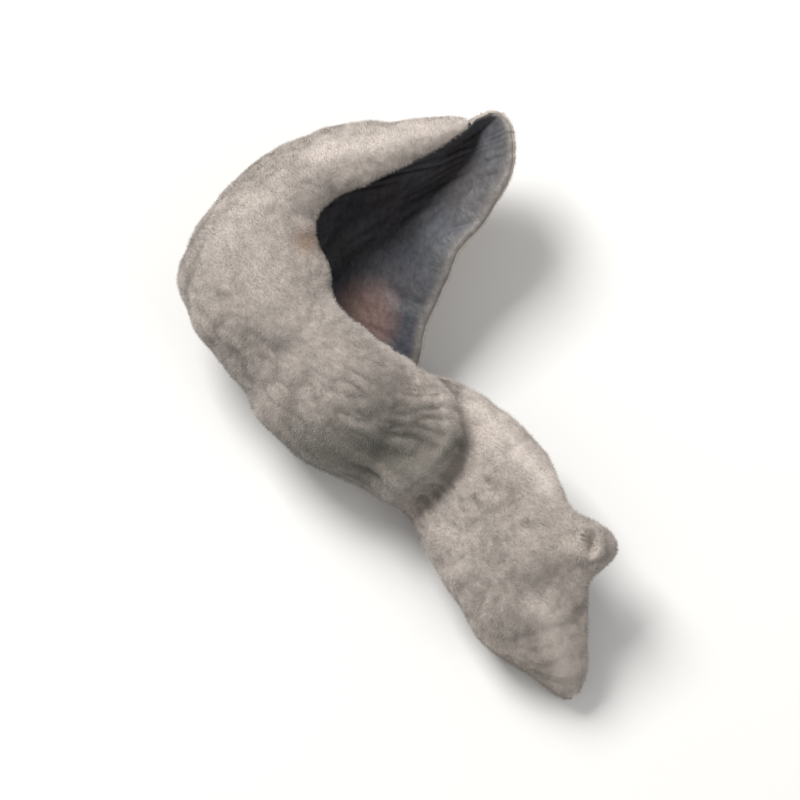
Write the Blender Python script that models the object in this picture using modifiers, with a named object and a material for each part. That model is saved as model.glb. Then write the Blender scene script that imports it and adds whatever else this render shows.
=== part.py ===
"""One dried wood ear mushroom, modelled as the single crumpled sheet that it grew as.

The ear is a thin sheet, felted on its outer face and smooth on its inner face. Drying rolled its near
margin over into a thick lip, so the upper half is a small cup behind that lip. Below the neck the sheet
folds under a crease and ends in a tongue that lies felt side up. Under the cup is the foot, cut off flat
where it left the log.

X runs to the right, Y from the tongue's tip towards the cup, and Z up from the surface that the ear lies
on. The sheet is worked out in millimetres and written to Blender in metres.
"""

import math
from collections import namedtuple

import bmesh
import bpy
import numpy as np
from mathutils import Vector, noise

MM = 0.001

# How finely the sheet is faceted, along it and across it.
ROWS = 66
COLUMNS = 34

# Thickness of the dried sheet, at its middle, along its margins and at its two tips.
SHEET_THICKNESS = 0.95
MARGIN_THICKNESS = 0.50
TIP_THICKNESS = 0.30
MARGIN_WIDTH = 2.2
TIP_LENGTH = 3.5

# The felted face is drawn by stations along the sheet, from the cup's tip, round the lip and down the
# tongue. Each one holds the lip's outer and inner edges in plan, the height of the lip's crest, how far its
# margin curls down, the height of the floor under it, the far margin, and how far the floor runs on under
# the lip: 1 in the cup, less where the sheet only tucks under.
Station = namedtuple("Station", "outer inner crest curl floor far tuck")
STATIONS = (
    Station((4.4, 15.7), (4.4, 15.2), 7.4, 0.2, 6.5, (5.4, 16.8, 6.6), 1.0),
    Station((3.4, 15.9), (3.4, 14.6), 7.9, 0.5, 4.8, (6.3, 16.3, 7.1), 1.0),
    Station((0.9, 15.8), (1.5, 13.4), 8.3, 1.1, 3.2, (6.9, 15.3, 7.5), 1.0),
    Station((-2.7, 15.5), (-1.2, 12.3), 8.9, 1.7, 2.0, (7.1, 14.0, 7.7), 1.0),
    Station((-6.4, 14.3), (-3.3, 11.2), 9.5, 2.2, 1.2, (6.8, 12.5, 7.4), 1.0),
    Station((-9.7, 12.0), (-4.5, 9.9), 9.9, 2.4, 0.7, (6.0, 11.0, 7.0), 1.0),
    Station((-11.7, 9.2), (-4.4, 8.2), 10.1, 2.4, 0.5, (5.1, 9.6, 6.4), 1.0),
    Station((-12.3, 6.3), (-3.7, 6.5), 10.0, 2.4, 0.4, (4.1, 8.1, 5.9), 1.0),
    Station((-11.1, 3.7), (-3.2, 4.7), 9.6, 2.2, 0.5, (3.2, 6.5, 5.2), 1.0),
    Station((-9.1, 1.5), (-1.7, 3.4), 9.1, 1.8, 0.7, (2.4, 4.8, 4.5), 0.9),
    Station((-7.0, -1.2), (0.3, 2.0), 8.7, 1.8, 0.8, (2.0, 3.1, 3.9), 0.8),
    Station((-4.4, -3.5), (2.0, 0.9), 8.0, 1.8, 0.7, (1.6, 0.6, 2.6), 0.6),
    Station((-1.2, -5.2), (4.0, 0.6), 6.8, 1.8, 0.4, (2.6, -2.0, 1.6), 0.45),
    Station((0.9, -6.8), (7.0, -1.5), 6.5, 1.9, 0.1, (4.0, -4.4, 1.1), 0.4),
    Station((2.0, -8.9), (9.4, -4.4), 6.9, 2.0, -0.2, (5.4, -6.7, 0.9), 0.4),
    Station((3.6, -11.2), (10.4, -7.5), 7.0, 2.0, 0.0, (6.4, -9.4, 0.8), 0.4),
    Station((5.1, -13.5), (10.9, -10.6), 6.3, 1.9, 0.1, (7.4, -12.1, 0.7), 0.4),
    Station((7.2, -15.3), (11.2, -13.2), 4.9, 1.6, 0.0, (8.9, -14.3, 0.6), 0.4),
    Station((9.0, -16.5), (11.2, -15.3), 3.1, 1.1, -0.2, (9.9, -16.0, 0.5), 0.4),
    Station((10.2, -17.2), (10.7, -16.9), 1.6, 0.5, -0.1, (10.5, -17.1, 0.5), 0.4),
)

# How far, as a part of the lip's width, a margin that curls down by a millimetre turns back under.
CURL_BACK = 0.04

# The crease at the neck, where the lip's blunt end stands over the tongue: an arc in plan. The lip drops by a
# step there, and a groove runs along the foot of the step.
CREASE_CENTRE = (0.1, -2.2)
CREASE_RADIUS = 3.7
CREASE_FACING = -25.0
CREASE_SPREAD = 100.0
CREASE_STEP = 1.1
CREASE_STEP_WIDTH = 1.7
CREASE_GROOVE = 1.0
CREASE_GROOVE_WIDTH = 1.1
CREASE_SHARPNESS = 0.28

# The foot, a boss under the cup, and the knob that a curl makes on the tongue's margin.
FOOT = (-3.2, 8.2)
FOOT_RADIUS = 3.1
FOOT_DEPTH = 2.1
FOOT_FILLED = 0.85
KNOB = (10.4, -8.7)
KNOB_RADIUS = 1.9
KNOB_FLANK = 1.3
KNOB_REACH = 1.8
KNOB_SPREAD = 0.25

# Elsewhere the sheet keeps just clear of the ground, and the tongue sags onto it at two places.
CLEARANCE = 0.45
CLEARANCE_SOFTNESS = 0.15
CONTACTS = ((3.3, -8.4), (9.2, -16.3))
CONTACT_RADIUS = 1.7
CONTACT_SAG = 0.75
UNDERSIDE_TOP = 1.6
UNDERSIDE_SOFTNESS = 0.25

# Crumples from drying: wavelength and depth of each size, and how much more the margins ruffle.
CRUMPLES = ((7.5, 0.50), (3.6, 0.24), (1.9, 0.10))
RUFFLE_WAVELENGTH = 4.2
RUFFLE_DEPTH = 0.50
RUFFLE_WIDTH = 2.0

FELT_COLOUR = (0.30, 0.245, 0.215, 1.0)
FELT_ROUGHNESS = 0.85


def spline(points, at):
    """Reads a smooth curve through points, at places counted from 0 to the number of points less one."""
    last = len(points) - 1
    before = np.clip(np.floor(at).astype(int), 0, last - 1)
    part = (at - before).reshape((-1,) + (1,) * (points.ndim - 1))
    ends = np.concatenate([[2 * points[0] - points[1]], points, [2 * points[-1] - points[-2]]])
    a, b, c, d = (ends[before + step] for step in range(4))
    cubic = -a + 3 * b - 3 * c + d
    square = 2 * a - 5 * b + 4 * c - d
    return 0.5 * (2 * b + (c - a) * part + square * part**2 + cubic * part**3)


def evenly_along(points, count):
    """Places along a spline, counted as in spline, that cut its length into equal steps."""
    fine = np.linspace(0, len(points) - 1, 40 * len(points))
    length = np.linalg.norm(np.diff(spline(points, fine), axis=0), axis=1).cumsum()
    length = np.concatenate([[0.0], length])
    return np.interp(np.linspace(0, length[-1], count), length, fine)


def section(station):
    """The felted face's outline across the sheet: down the lip's inside, over its crest, down the outer
    wall, under the lip along the floor, and up to the far margin."""
    outer, inner, far = station[0:2], station[2:4], station[7:10]
    crest, curl, floor, tuck = station[4], station[5], station[6], station[10]
    depth = crest - floor

    def across(fraction, height):
        return np.append(outer + (inner - outer) * fraction, height)

    bottom = across(0.45 * tuck, floor)
    return np.array([
        across(1.00 - CURL_BACK * curl, crest - curl),
        across(1.00, crest - 0.58 * curl),
        across(0.87, crest - 0.17 * curl),
        across(0.55, crest),
        across(0.20, crest - 0.16 * depth),
        across(0.00, floor + 0.52 * depth),
        across(0.02 + 0.12 * tuck, floor + 0.14 * depth),
        bottom,
        bottom + (far - bottom) * (0.55, 0.55, 0.27),
        bottom + (far - bottom) * (0.81, 0.81, 0.62),
        far,
    ])


def smooth_sheet(rows, columns):
    """The felted face before it crumpled, as rows of points across the sheet."""
    table = np.array([np.hstack(station) for station in STATIONS])
    spine = (table[:, 0:2] + table[:, 2:4]) / 2
    stations = spline(table, evenly_along(spine, rows))
    sheet = []
    for station in stations:
        outline = section(station)
        sheet.append(spline(outline, evenly_along(outline, columns)))
    return np.array(sheet)


def outward(sheet):
    """Unit normals of the felted face, pointing away from the sheet."""
    along, across = np.gradient(sheet, axis=0), np.gradient(sheet, axis=1)
    normal = np.cross(across, along)
    return normal / np.linalg.norm(normal, axis=2, keepdims=True)


def margin_distance(sheet):
    """How far each point lies from the nearer long margin and from the nearer tip, over the sheet."""
    across = np.linalg.norm(np.diff(sheet, axis=1), axis=2).cumsum(axis=1)
    across = np.pad(across, ((0, 0), (1, 0)))
    to_margin = np.minimum(across, across[:, -1:] - across)
    along = np.linalg.norm(np.diff(sheet, axis=0), axis=2).cumsum(axis=0)
    along = np.pad(along, ((1, 0), (0, 0)))
    to_tip = np.minimum(along, along[-1:] - along)
    return to_margin, to_tip


def crumple(places, wavelength, offset):
    """Smooth noise over a grid of places, about -1 to 1."""
    scaled = places.reshape(-1, 3) / wavelength + offset
    return np.array([noise.noise(Vector(place)) for place in scaled]).reshape(places.shape[:2])


def smooth_step(value):
    """Rises smoothly from 0 to 1 as the value does, and stays level beyond."""
    value = np.clip(value, 0, 1)
    return value * value * (3 - 2 * value)


def mound(sheet, centre, radius):
    """A smooth mound over the sheet's plan, 1 at its centre."""
    away = sheet[:, :, :2] - centre
    return np.exp(-(away**2).sum(axis=2) / radius**2)


def crease(sheet):
    """How far the neck's crease lifts the lip's end and lowers the tongue's start."""
    away = sheet[:, :, :2] - CREASE_CENTRE
    beyond = np.hypot(away[:, :, 0], away[:, :, 1]) - CREASE_RADIUS
    turn = np.arctan2(away[:, :, 1], away[:, :, 0]) - math.radians(CREASE_FACING)
    limit = math.cos(math.radians(CREASE_SPREAD))
    reach = smooth_step(1.6 * (np.cos(turn) - limit) / (1 - limit))
    on_tongue = 1 / (1 + np.exp(-beyond / CREASE_SHARPNESS))
    step = CREASE_STEP * np.exp(-(beyond / CREASE_STEP_WIDTH) ** 2)
    groove = CREASE_GROOVE * np.exp(-(beyond / CREASE_GROOVE_WIDTH) ** 2)
    return (step * (1 - on_tongue) - groove * on_tongue) * reach


def settle(sheet):
    """Keeps the sheet just off the ground, except where it sags onto it."""
    height = sheet[:, :, 2]
    over = (height - CLEARANCE) / CLEARANCE_SOFTNESS
    height = CLEARANCE + CLEARANCE_SOFTNESS * np.logaddexp(0, over)
    underside = 1 / (1 + np.exp((height - UNDERSIDE_TOP) / UNDERSIDE_SOFTNESS))
    for contact in CONTACTS:
        height = height - CONTACT_SAG * mound(sheet, contact, CONTACT_RADIUS) * underside
    return np.dstack([sheet[:, :, :2], height])


def dried_sheet(rows, columns):
    """The felted face as it dried, with the thickness of the sheet behind it: crumpled, ruffled at its
    margins, creased at the neck, with the foot standing out below and the knob on the tongue's margin."""
    sheet = smooth_sheet(rows, columns)
    normal = outward(sheet)
    to_margin, to_tip = margin_distance(sheet)
    across = np.arange(columns) / (columns - 1)
    upper = smooth_step((0.66 - across) / 0.14)
    foot = FOOT_DEPTH * mound(sheet, FOOT, FOOT_RADIUS) * (across > 0.5)

    rise = sum(depth * crumple(sheet, wavelength, 10.0 * wavelength) for wavelength, depth in CRUMPLES)
    ruffle = RUFFLE_DEPTH * crumple(sheet, RUFFLE_WAVELENGTH, 5.0)
    rise += ruffle * np.exp(-(to_margin / RUFFLE_WIDTH) ** 2)
    rise += crease(sheet) * upper * smooth_step(to_margin / RUFFLE_WIDTH)
    rise *= np.clip(to_tip / TIP_LENGTH, 0.15, 1)
    face = settle(sheet + normal * rise[:, :, None])
    face[:, :, 2] -= foot
    away = np.linalg.norm(sheet[:, :, :2] - KNOB, axis=2)
    knob = smooth_step((KNOB_RADIUS - away) / KNOB_FLANK) * (across < 0.3)
    face[:, :, 0] += KNOB_REACH * knob
    face[:, :, 1] += KNOB_SPREAD * knob * (sheet[:, :, 1] - KNOB[1])
    plan = face[:, :, :2].reshape(-1, 2)
    face[:, :, :2] -= (plan.min(axis=0) + plan.max(axis=0)) / 2

    middle = smooth_step(to_margin / MARGIN_WIDTH)
    thick = MARGIN_THICKNESS + (SHEET_THICKNESS - MARGIN_THICKNESS) * middle
    thick = TIP_THICKNESS + (thick - TIP_THICKNESS) * smooth_step(to_tip / TIP_LENGTH)
    return face, thick + FOOT_FILLED * foot


def felt():
    """The material of the dried, felted face."""
    material = bpy.data.materials.new("felt")
    material.use_nodes = True
    shader = material.node_tree.nodes["Principled BSDF"]
    shader.inputs["Base Color"].default_value = FELT_COLOUR
    shader.inputs["Roughness"].default_value = FELT_ROUGHNESS
    return material


def make_ear(collection):
    """The ear: a grid moved onto the felted face, thickened inwards."""
    face, thick = dried_sheet(ROWS, COLUMNS)
    sheet = bmesh.new()
    bmesh.ops.create_grid(sheet, x_segments=COLUMNS - 1, y_segments=ROWS - 1, size=0.5)
    mesh = bpy.data.meshes.new("dried_ear")
    weights = []
    for vertex in sheet.verts:
        column = round((vertex.co.x + 0.5) * (COLUMNS - 1))
        row = round((vertex.co.y + 0.5) * (ROWS - 1))
        vertex.co = face[row, column] * MM
        weights.append(thick[row, column] / thick.max())
    sheet.to_mesh(mesh)
    sheet.free()
    mesh.shade_smooth()
    mesh.materials.append(felt())

    ear = bpy.data.objects.new("dried_ear", mesh)
    collection.objects.link(ear)
    group = ear.vertex_groups.new(name="thickness")
    for vertex, weight in enumerate(weights):
        group.add([vertex], weight, "REPLACE")
    wall = ear.modifiers.new("sheet thickness", "SOLIDIFY")
    wall.thickness = float(thick.max()) * MM
    wall.offset = -1.0
    wall.vertex_group = "thickness"
    return ear


def cut_flat(ear, collection):
    """Cuts the ear off level with the surface that it lies on."""
    side = 60 * MM
    bpy.ops.mesh.primitive_cube_add(size=side, location=(0, 0, -side / 2))
    ground = bpy.context.object
    ground.name = "ground_cutter"
    ground.hide_render = True
    ground.display_type = "WIRE"
    for home in list(ground.users_collection):
        home.objects.unlink(ground)
    collection.objects.link(ground)
    cut = ear.modifiers.new("level cut", "BOOLEAN")
    cut.operation = "DIFFERENCE"
    cut.solver = "EXACT"
    cut.object = ground


def main():
    for thing in list(bpy.data.objects):
        bpy.data.objects.remove(thing)
    parts = bpy.data.collections.new("dried_wood_ear_mushroom")
    cutters = bpy.data.collections.new("cutters")
    bpy.context.scene.collection.children.link(parts)
    bpy.context.scene.collection.children.link(cutters)
    cut_flat(make_ear(parts), cutters)


main()
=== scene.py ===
# %% [markdown]
# # One dried wood ear mushroom
#
# A wood ear grows on a log as a thin, cup-like sheet. Its back is covered with a velvet of short hairs and
# its inner face is smooth. As it dries it shrinks to a fraction of its size: the near margin rolls over into
# a thick lip, the rest closes into a small cup, and the lower end twists into a tongue. This lesson makes one
# such ear in Blender, as a sheet that is worked out point by point, with its wrinkles in the mesh, and then
# grows the velvet on it with Geometry Nodes.

import math
from collections import namedtuple

import bpy
import numpy as np
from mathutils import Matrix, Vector, noise


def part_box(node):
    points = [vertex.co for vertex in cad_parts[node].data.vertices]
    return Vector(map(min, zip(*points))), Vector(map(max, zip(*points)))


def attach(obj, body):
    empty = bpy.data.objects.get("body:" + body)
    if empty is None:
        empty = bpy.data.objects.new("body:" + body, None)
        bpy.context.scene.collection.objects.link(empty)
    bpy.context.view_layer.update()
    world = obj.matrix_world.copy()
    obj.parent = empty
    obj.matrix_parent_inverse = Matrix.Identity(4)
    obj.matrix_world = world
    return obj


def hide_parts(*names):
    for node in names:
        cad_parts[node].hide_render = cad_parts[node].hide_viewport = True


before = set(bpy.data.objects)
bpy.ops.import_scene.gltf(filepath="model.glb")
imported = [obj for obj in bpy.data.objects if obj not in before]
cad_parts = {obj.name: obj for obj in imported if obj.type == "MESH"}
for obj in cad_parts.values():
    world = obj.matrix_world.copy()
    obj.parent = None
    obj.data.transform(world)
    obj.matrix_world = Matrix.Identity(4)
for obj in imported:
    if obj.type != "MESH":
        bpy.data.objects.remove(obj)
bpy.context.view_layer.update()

MM = 0.001
NODE = "dried_ear"
low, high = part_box(NODE)
print("the solid ear, in mm:", [round(side / MM, 1) for side in high - low])

# %% [markdown]
# ## The stations
#
# The sheet could be sculpted by hand or simulated as cloth. It is drawn by stations instead, because each of
# them is a measure that can be read off the real ear: where the lip's two edges run in plan, how high its
# crest stands, how far its margin curls down, how high the floor lies under it and where the far margin ends.
# A smooth curve through the stations then gives as many rows as are wanted. All numbers are millimetres, X to
# the right, Y from the tongue's tip towards the cup, and Z up.

# %% The stations, from the cup's tip, round the lip and down the tongue
Station = namedtuple("Station", "outer inner crest curl floor far tuck")
STATIONS = (
    Station((4.4, 15.7), (4.4, 15.2), 7.4, 0.2, 6.9, (5.2, 16.7, 7.0), 1.0),
    Station((3.4, 15.9), (3.4, 14.6), 7.9, 0.5, 4.8, (6.3, 16.3, 7.1), 1.0),
    Station((0.9, 15.8), (1.5, 13.4), 8.3, 1.1, 3.2, (6.9, 15.3, 7.5), 1.0),
    Station((-2.7, 15.5), (-1.2, 12.3), 8.9, 1.7, 2.0, (7.1, 14.0, 7.7), 1.0),
    Station((-6.4, 14.3), (-3.3, 11.2), 9.5, 2.2, 1.2, (6.8, 12.5, 7.4), 1.0),
    Station((-9.7, 12.0), (-4.5, 9.9), 9.9, 2.4, 0.7, (6.0, 11.0, 7.0), 1.0),
    Station((-11.7, 9.2), (-4.4, 8.2), 10.1, 2.4, 0.5, (5.1, 9.6, 6.4), 1.0),
    Station((-12.3, 6.3), (-3.7, 6.5), 10.0, 2.4, 0.4, (4.1, 8.1, 5.9), 1.0),
    Station((-11.1, 3.7), (-3.2, 4.7), 9.6, 2.2, 0.5, (3.2, 6.5, 5.2), 1.0),
    Station((-9.1, 1.5), (-1.7, 3.4), 9.1, 1.8, 0.7, (2.4, 4.8, 4.5), 0.9),
    Station((-7.0, -1.2), (0.3, 2.0), 8.7, 1.8, 0.8, (2.0, 3.1, 3.9), 0.8),
    Station((-4.4, -3.5), (2.0, 0.9), 8.0, 1.8, 0.7, (1.6, 0.6, 2.6), 0.6),
    Station((-1.2, -5.2), (4.0, 0.6), 6.8, 1.8, 0.4, (2.6, -2.0, 1.6), 0.45),
    Station((0.9, -6.8), (7.0, -1.5), 6.5, 1.9, 0.1, (4.0, -4.4, 1.1), 0.4),
    Station((2.0, -8.9), (9.4, -4.4), 6.9, 2.0, -0.2, (5.4, -6.7, 0.9), 0.4),
    Station((3.6, -11.2), (10.4, -7.5), 7.0, 2.0, 0.0, (6.4, -9.4, 0.8), 0.4),
    Station((5.1, -13.5), (10.9, -10.6), 6.3, 1.9, 0.1, (7.4, -12.1, 0.7), 0.4),
    Station((7.2, -15.3), (11.2, -13.2), 4.9, 1.6, 0.0, (8.9, -14.3, 0.6), 0.4),
    Station((9.0, -16.5), (11.2, -15.3), 3.1, 1.1, -0.2, (9.9, -16.0, 0.5), 0.4),
    Station((10.2, -17.2), (10.7, -16.9), 1.6, 0.5, -0.1, (10.5, -17.1, 0.5), 0.4),
)
CURL_BACK = 0.04
print(len(STATIONS), "stations")


# %% [markdown]
# ## From stations to a smooth sheet
#
# Two kinds of curve are needed: one along the sheet, through the stations, and one across it, over the lip,
# down its outer wall, under it along the floor and up to the far margin. A Catmull-Rom curve passes through
# every point that it is given, so both can use the same short function. The points are then spread evenly by
# length, with finer steps close to the margins, where the edge has to turn round smoothly.

# %% Curves through points
SAMPLES_PER_POINT = 40


def spline(points, at):
    """Reads a smooth curve through points, at places counted from 0 to the number of points less one."""
    last = len(points) - 1
    before = np.clip(np.floor(at).astype(int), 0, last - 1)
    part = (at - before).reshape((-1,) + (1,) * (points.ndim - 1))
    ends = np.concatenate([[2 * points[0] - points[1]], points, [2 * points[-1] - points[-2]]])
    a, b, c, d = (ends[before + step] for step in range(4))
    cubic = -a + 3 * b - 3 * c + d
    square = 2 * a - 5 * b + 4 * c - d
    return 0.5 * (2 * b + (c - a) * part + square * part**2 + cubic * part**3)


def places_along(points, fractions):
    """Places along a spline, counted as in spline, at these fractions of its length."""
    fine = np.linspace(0, len(points) - 1, SAMPLES_PER_POINT * len(points))
    length = np.linalg.norm(np.diff(spline(points, fine), axis=0), axis=1).cumsum()
    length = np.concatenate([[0.0], length])
    return np.interp(fractions * length[-1], length, fine)


def fractions_with_fine_ends(count, finest, reach):
    """Fractions from 0 to 1, whose steps shrink to a part of the usual one over a few steps at each end."""
    step = np.arange(count - 1)
    from_end = np.minimum(step, step[::-1])
    steps = 1 - (1 - finest) * np.exp(-((from_end / reach) ** 2))
    return np.concatenate([[0.0], steps.cumsum() / steps.sum()])


# %% The outline across the sheet, and the rows of the smooth sheet
ROWS = 300
COLUMNS = 164
FINE_ROWS = (0.35, 4)
FINE_COLUMNS = (0.25, 6)


def section(station):
    """The felted face's outline across the sheet: down the lip's inside, over its crest, down the outer
    wall, under the lip along the floor, and up to the far margin."""
    outer, inner, far = station[0:2], station[2:4], station[7:10]
    crest, curl, floor, tuck = station[4], station[5], station[6], station[10]
    depth = crest - floor

    def across(fraction, height):
        return np.append(outer + (inner - outer) * fraction, height)

    bottom = across(0.45 * tuck, floor)
    return np.array([
        across(1.00 - CURL_BACK * curl, crest - curl),
        across(1.00, crest - 0.58 * curl),
        across(0.87, crest - 0.17 * curl),
        across(0.55, crest),
        across(0.20, crest - 0.16 * depth),
        across(0.00, floor + 0.52 * depth),
        across(0.02 + 0.12 * tuck, floor + 0.14 * depth),
        bottom,
        bottom + (far - bottom) * (0.55, 0.55, 0.27),
        bottom + (far - bottom) * (0.81, 0.81, 0.62),
        far,
    ])


def smooth_sheet():
    """The felted face before it crumpled, as rows of points across the sheet."""
    table = np.array([np.hstack(station) for station in STATIONS])
    spine = (table[:, 0:2] + table[:, 2:4]) / 2
    along = fractions_with_fine_ends(ROWS, *FINE_ROWS)
    across = fractions_with_fine_ends(COLUMNS, *FINE_COLUMNS)
    rows = []
    for station in spline(table, places_along(spine, along)):
        outline = section(station)
        rows.append(spline(outline, places_along(outline, across)))
    return np.array(rows)


sheet = smooth_sheet()
print("the smooth sheet has", sheet.shape[0], "rows of", sheet.shape[1], "points")


# %% [markdown]
# ## What every later step measures
#
# Wrinkles, thickness and colour all depend on where a point lies on the sheet: how far it is along it and
# across it, how far from a margin or a tip, and which way the surface faces there. These are worked out once.

# %% Distances over the sheet
def running_length(points, axis):
    """Length walked over a grid of points along one of its two directions."""
    step = np.linalg.norm(np.diff(points, axis=axis), axis=2).cumsum(axis=axis)
    edge = ((1, 0), (0, 0)) if axis == 0 else ((0, 0), (1, 0))
    return np.pad(step, edge)


def outward(points):
    """Unit normals of the felted face, pointing away from the sheet."""
    normal = np.cross(np.gradient(points, axis=1), np.gradient(points, axis=0))
    return normal / np.linalg.norm(normal, axis=2, keepdims=True)


along = running_length(sheet, 0)
across = running_length(sheet, 1)
to_margin = np.minimum(across, across[:, -1:] - across)
to_tip = np.minimum(along, along[-1:] - along)
to_edge = np.minimum(to_margin, to_tip)
width_part = across / across[:, -1:]
print("across the sheet, in mm: up to", across.max().round(1), "and along it up to", along.max().round(1))


# %% Small helpers for shaping
def smooth_step(value):
    """Rises smoothly from 0 to 1 as the value does, and stays level beyond."""
    value = np.clip(value, 0, 1)
    return value * value * (3 - 2 * value)


def mound(points, centre, radius):
    """A smooth mound over the points' plan, 1 at its centre."""
    away = points[:, :, :2] - centre
    return np.exp(-(away**2).sum(axis=2) / radius**2)


def lumps(places, wavelength, offset):
    """Smooth noise over a grid of places, about -1 to 1."""
    scaled = places.reshape(-1, 3) / wavelength + offset
    return np.array([noise.noise(Vector(place)) for place in scaled]).reshape(places.shape[:2])


print("noise at the first point:", round(float(lumps(sheet[:1, :1], 1.0, 0.5)[0, 0]), 3))

# %% [markdown]
# ## The big forms of drying
#
# Drying leaves broad crumples all over the sheet and ruffles along its margins. At the neck the lip ends in a
# blunt roll that stands over the tongue, with a groove along its foot. A step and a groove that follow an arc
# in plan make that crease. They could be sculpted, but a noise and an arc take a few numbers only. The solid
# model has these forms too, so they keep close to its own.

# %% Crumples, ruffles and the crease at the neck
CRUMPLES = ((7.5, 0.50), (3.6, 0.24), (1.9, 0.10))
RUFFLE_WAVELENGTH = 4.2
RUFFLE_DEPTH = 0.50
RUFFLE_WIDTH = 2.0
TIP_LENGTH = 3.5
CREASE_CENTRE = (0.1, -2.2)
CREASE_RADIUS = 3.7
CREASE_FACING = math.radians(-25)
CREASE_SPREAD = math.radians(100)
CREASE_STEP = 1.1
CREASE_STEP_WIDTH = 1.7
CREASE_GROOVE = 1.0
CREASE_GROOVE_WIDTH = 1.1
CREASE_SHARPNESS = 0.28
CREASE_FILL = 1.6
TOP_FACE = (0.66, 0.14)
TIP_SHARE = 0.15


def part_of_width(limit, fade):
    """1 on the lip's side of a place across the sheet, fading to 0 at that place."""
    return smooth_step((limit - width_part) / fade)


def crease():
    """How far the neck's crease lifts the lip's end and lowers the tongue's start."""
    away = sheet[:, :, :2] - CREASE_CENTRE
    beyond = np.hypot(away[:, :, 0], away[:, :, 1]) - CREASE_RADIUS
    turn = np.arctan2(away[:, :, 1], away[:, :, 0]) - CREASE_FACING
    limit = math.cos(CREASE_SPREAD)
    reach = smooth_step(CREASE_FILL * (np.cos(turn) - limit) / (1 - limit))
    on_tongue = 1 / (1 + np.exp(-beyond / CREASE_SHARPNESS))
    step = CREASE_STEP * np.exp(-(beyond / CREASE_STEP_WIDTH) ** 2)
    groove = CREASE_GROOVE * np.exp(-(beyond / CREASE_GROOVE_WIDTH) ** 2)
    return (step * (1 - on_tongue) - groove * on_tongue) * reach


def big_forms():
    """How far the drying moved each point of the felted face outwards."""
    rise = sum(depth * lumps(sheet, wavelength, 10.0 * wavelength) for wavelength, depth in CRUMPLES)
    ruffle = RUFFLE_DEPTH * lumps(sheet, RUFFLE_WAVELENGTH, 5.0)
    rise += ruffle * np.exp(-(to_margin / RUFFLE_WIDTH) ** 2)
    rise += crease() * part_of_width(*TOP_FACE) * smooth_step(to_margin / RUFFLE_WIDTH)
    return rise * np.clip(to_tip / TIP_LENGTH, TIP_SHARE, 1)


smooth_normal = outward(sheet)
rise = big_forms()
print("big forms, in mm:", rise.min().round(2), "to", rise.max().round(2))

# %% [markdown]
# ## The tongue's folds
#
# The tongue's free margin is rolled, so a shallow groove runs a little inside it from the neck to the knob. A
# soft fold crosses the tongue below the knob, and another runs down its middle. They are only a few tenths of
# a millimetre deep, so the solid model does without them. The stations are too far apart to hold them, so
# each is a ridge or a groove along a line in plan.

# %% Folds on the tongue
FOLDS = (
    ((4.8, -1.6), (6.6, -3.2), 0.40, -0.22),
    ((6.6, -3.2), (8.7, -6.2), 0.40, -0.22),
    ((10.3, -10.6), (7.6, -11.4), 0.80, -0.14),
    ((3.8, -6.8), (6.8, -11.0), 0.80, -0.14),
    ((6.2, -6.4), (8.6, -12.8), 0.90, 0.14),
    ((8.2, -12.6), (9.6, -15.6), 0.60, 0.20),
)
FOLD_MARGIN = 0.8
TOP_SIDE = (0.6, 0.1)


def line_mound(points, start, end, width):
    """A smooth ridge along a line in plan, 1 on the line."""
    start, end = np.array(start), np.array(end)
    along_line = (end - start) / np.linalg.norm(end - start)
    from_start = points[:, :, :2] - start
    part = np.clip(from_start @ along_line, 0, np.linalg.norm(end - start))
    away = np.linalg.norm(from_start - part[:, :, None] * along_line, axis=2)
    return np.exp(-((away / width) ** 2))


top_side = part_of_width(*TOP_SIDE)
for start, end, width, height in FOLDS:
    rise += height * line_mound(sheet, start, end, width) * top_side * smooth_step(to_margin / FOLD_MARGIN)
print(len(FOLDS), "folds")

# %% [markdown]
# ## Foot, knob and resting places
#
# Under the cup the sheet runs out into the short foot that held it to the log, so its felted face bulges down
# there. On the tongue's margin a small curl makes a knob. It could be a piece of its own, but it is one with
# the sheet, so it is pulled out of the margin in plan, and a ring is raised on it later, where its edge
# curled over. The sheet is then kept just off the ground, except at two places where the tongue sags onto
# it, because a dried ear rests on three points, like a stool.

# %% The foot, the knob and the places where the ear touches the ground
FOOT = (-3.2, 8.2)
FOOT_RADIUS = 3.1
FOOT_DEPTH = 2.1
FOOT_FILLED = 0.85
KNOB = (10.4, -8.7)
KNOB_RADIUS = 1.9
KNOB_FLANK = 1.3
KNOB_REACH = 2.2
KNOB_SPREAD = 0.25
KNOB_RING = (11.25, -8.75)
KNOB_RING_RADII = (0.55, 0.95)
KNOB_RING_WIDTH = 0.42
KNOB_RING_HEIGHT = 0.50
KNOB_PIT_DEPTH = 0.5
KNOB_PIT_WIDTH = 0.6
NEAR_LIP = 0.3
LOWER_HALF = 0.5
CLEARANCE = 0.45
CLEARANCE_SOFTNESS = 0.15
CONTACTS = ((3.3, -8.4), (9.2, -16.3))
CONTACT_RADIUS = 1.7
CONTACT_SAG = 0.75
UNDERSIDE_TOP = 1.6
UNDERSIDE_SOFTNESS = 0.25


def settle(points):
    """Keeps the sheet just off the ground, except where the tongue sags onto it."""
    height = points[:, :, 2]
    over = (height - CLEARANCE) / CLEARANCE_SOFTNESS
    height = CLEARANCE + CLEARANCE_SOFTNESS * np.logaddexp(0, over)
    underside = 1 / (1 + np.exp((height - UNDERSIDE_TOP) / UNDERSIDE_SOFTNESS))
    for contact in CONTACTS:
        height = height - CONTACT_SAG * mound(points, contact, CONTACT_RADIUS) * underside
    return np.dstack([points[:, :, :2], height])


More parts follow.
